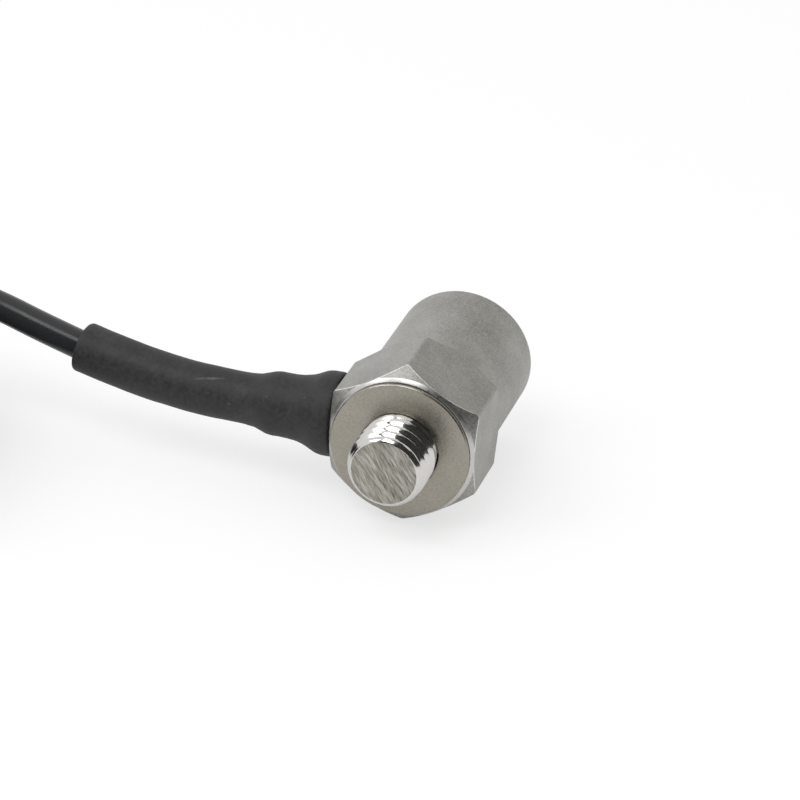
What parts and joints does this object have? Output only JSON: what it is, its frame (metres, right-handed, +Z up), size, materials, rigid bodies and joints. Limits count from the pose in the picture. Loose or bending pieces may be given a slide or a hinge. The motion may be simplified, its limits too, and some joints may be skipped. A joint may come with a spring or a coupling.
{
  "type": "vibration sensor",
  "caption": "Small stud-mounted vibration sensor: hexagon base, round steel case, threaded stud, and an integral side cable in a shrink-sleeve strain relief.",
  "frame": {"origin": "middle of the sensor without its cable, on the surface that it lies on", "axes": "+Z up; the sensor's axis lies along Y, with the stud towards -Y and the closed top of the case towards +Y; the cable leaves the flat that faces -X"},
  "size_m": [0.0923, 0.051, 0.0212],
  "materials": {
    "blasted_steel": "bead-blasted stainless steel, matte",
    "polished_steel": "bright polished steel with a ground end",
    "inner_steel": "turned steel",
    "piezo_ceramic": "fired, unglazed",
    "heavy_metal": "turned tungsten alloy",
    "contact_metal": "bright copper alloy",
    "white_insulation": "smooth fluoropolymer",
    "board_green": "glass-fibre laminate with green lacquer",
    "chip_black": "moulded epoxy",
    "chip_tan": "fired chips with tinned ends",
    "copper_braid": "tinned copper braid",
    "shrink_charcoal": "matte shrink tubing with light scuffs",
    "cable_black": "smooth glossy jacket",
    "tie_black": "moulded nylon",
    "lead_red": "smooth lead insulation",
    "lead_black": "smooth lead insulation",
    "wire_ferrule": "grey collar with a tinned copper pin"
  },
  "bodies": {
    "root": {"housing": "blasted_steel", "base_plate": "blasted_steel", "mounting_stud": "polished_steel", "piezo_ring_lower": "piezo_ceramic", "signal_electrode": "contact_metal", "piezo_ring_upper": "piezo_ceramic", "screw_tube": "white_insulation", "seismic_mass": "heavy_metal", "spring_washer": "inner_steel", "preload_screw": "inner_steel", "liner_sleeve": "white_insulation", "circuit_board": "board_green", "amplifier_chip": "chip_black", "small_chips": "chip_tan", "electrode_wire": "contact_metal", "core_wire": "contact_metal", "cable_core": "white_insulation", "cable_nipple": "inner_steel", "cable_braid": "copper_braid", "crimp_ferrule": "contact_metal", "shrink_sleeve": "shrink_charcoal", "cable_run": "cable_black", "cable_coil": "cable_black", "coil_tie": "tie_black", "cable_end": "cable_black", "end_sleeve": "shrink_charcoal", "signal_lead": "lead_red", "screen_lead": "lead_black", "wire_ferrules": "wire_ferrule"}
  },
  "joints": []
}
